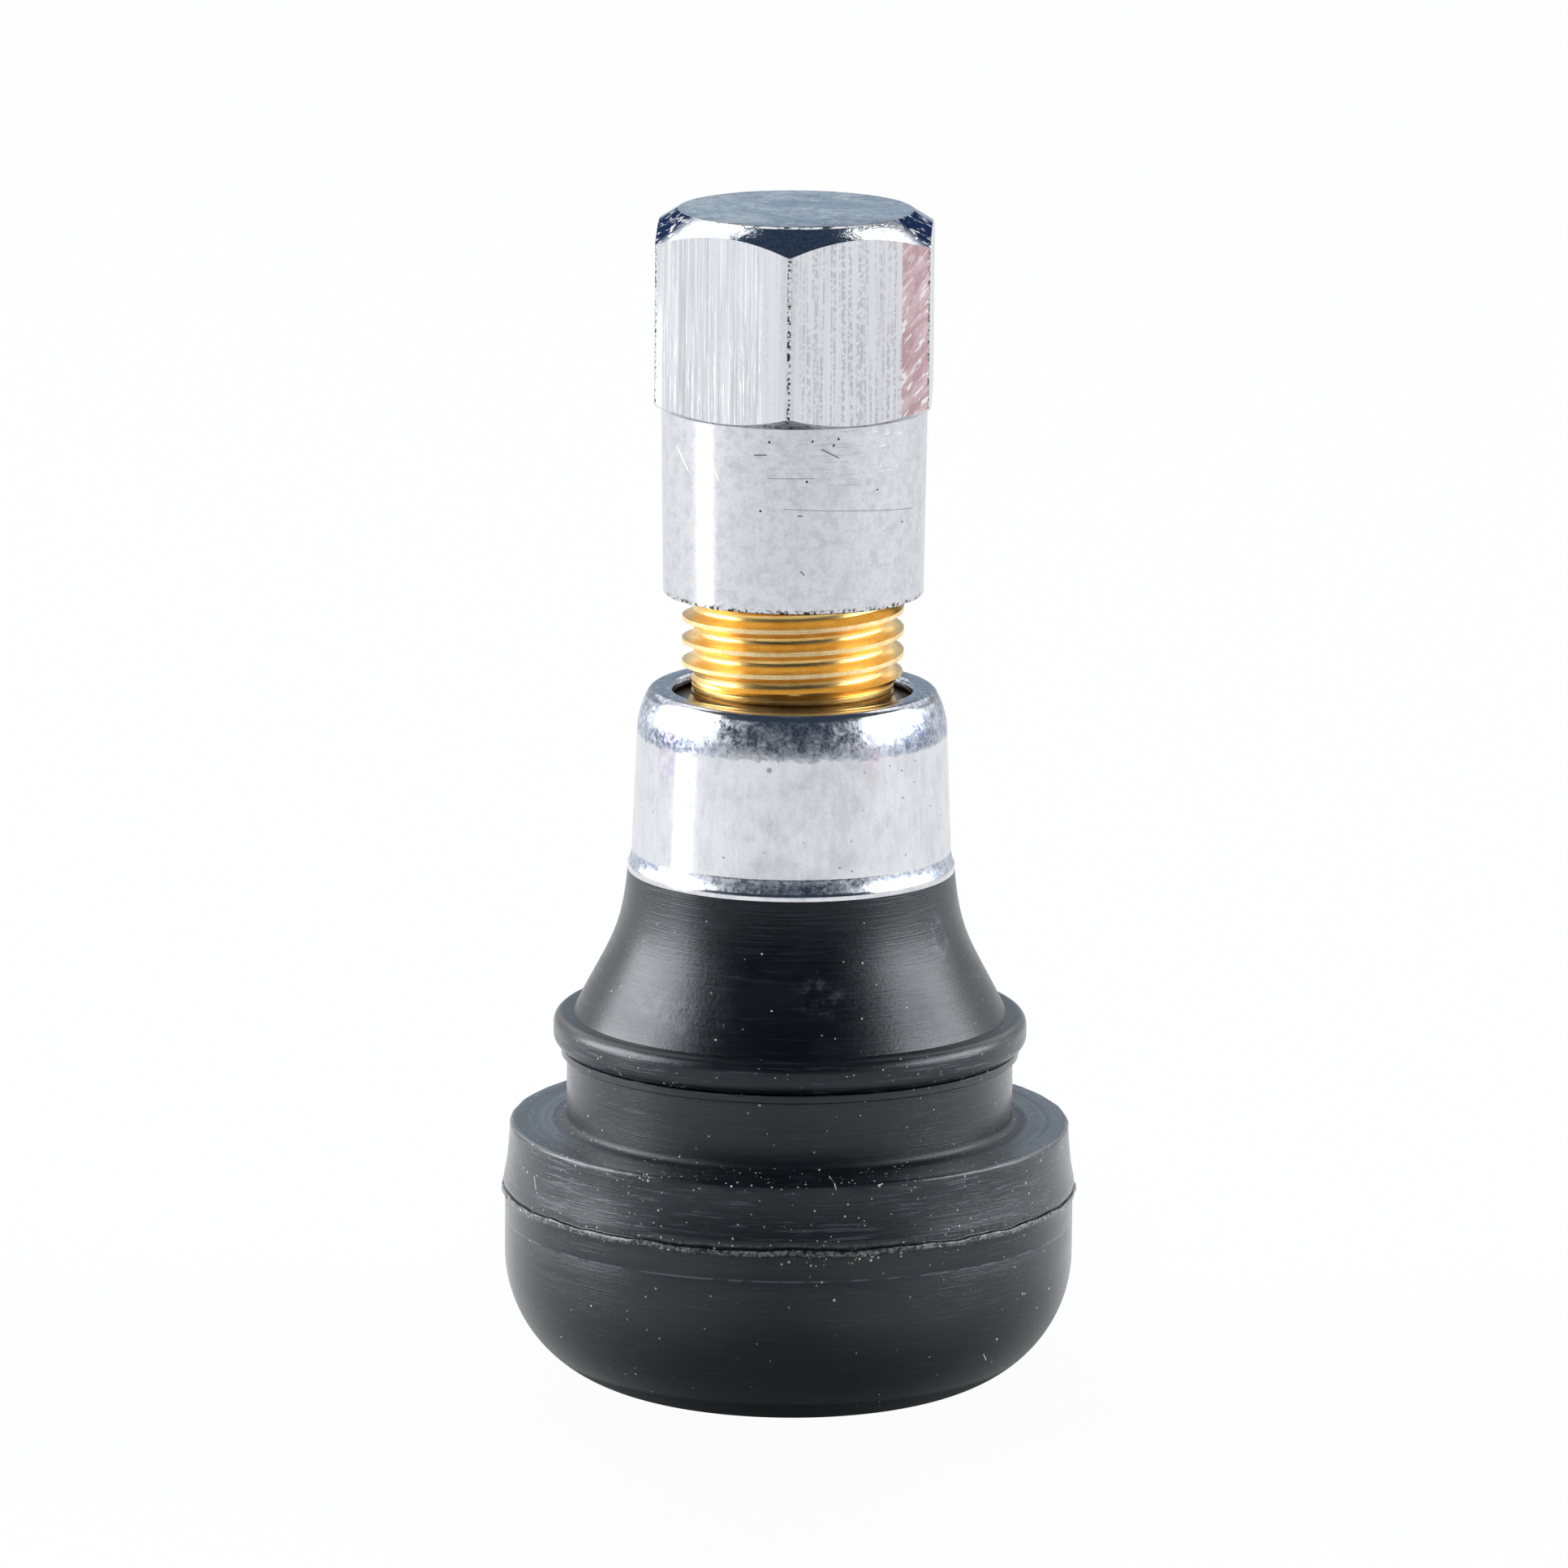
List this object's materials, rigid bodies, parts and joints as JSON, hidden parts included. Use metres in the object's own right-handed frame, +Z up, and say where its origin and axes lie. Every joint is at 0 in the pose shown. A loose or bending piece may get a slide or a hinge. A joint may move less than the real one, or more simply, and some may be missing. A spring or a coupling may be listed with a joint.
{
  "type": "tyre valve",
  "caption": "Snap-in rubber tyre valve with a brass stem, a chrome sleeve, a screw-on chrome hex cap and a spring-closed core inside.",
  "frame": {"origin": "centre of the rubber base's flat bottom", "axes": "+Z up along the valve's axis, towards the cap; a corner of the cap's hexagon points along -Y"},
  "size_m": [0.0204, 0.0204, 0.0417],
  "materials": {
    "body_rubber": "satin moulded",
    "stem_brass": "turned",
    "sleeve_chrome": "polished",
    "cap_chrome": "satin drawn",
    "seal_rubber": "matte",
    "core_brass": "turned",
    "packing_ring": "matte",
    "spring_wire": "drawn wire"
  },
  "bodies": {
    "valve": {"rubber_body": "body_rubber", "stem": "stem_brass", "sleeve": "sleeve_chrome", "core_plug": "core_brass", "core_barrel": "core_brass", "core_packing": "packing_ring", "core_spring": "spring_wire"},
    "plunger": {"core_pin": "core_brass", "core_cup": "core_brass", "core_cup_seal": "seal_rubber"},
    "cap_washer": {"cap_seal": "seal_rubber"},
    "cap": {"cap_shell": "cap_chrome"}
  },
  "joints": [
    {"name": "cap_lift", "type": "slide", "parent": "valve", "child": "cap_washer", "axis": [0, 0, 1], "range_m": [0, 0.00992]},
    {"name": "cap_turn", "type": "hinge", "parent": "cap_washer", "child": "cap", "pos_m": [0, 0, 0.035], "axis": [0, 0, 1], "range_deg": [0, 4500]},
    {"name": "pin_press", "type": "slide", "parent": "valve", "child": "plunger", "axis": [0, 0, -1], "range_m": [0, 0.0012], "stiffness_N_per_m": 800, "springref_m": -0.0015, "deforming": ["core_spring"]}
  ],
  "couplings": [
    {"joint": "cap_turn", "follows": "cap_lift", "rad_per_m": 7915.8}
  ]
}
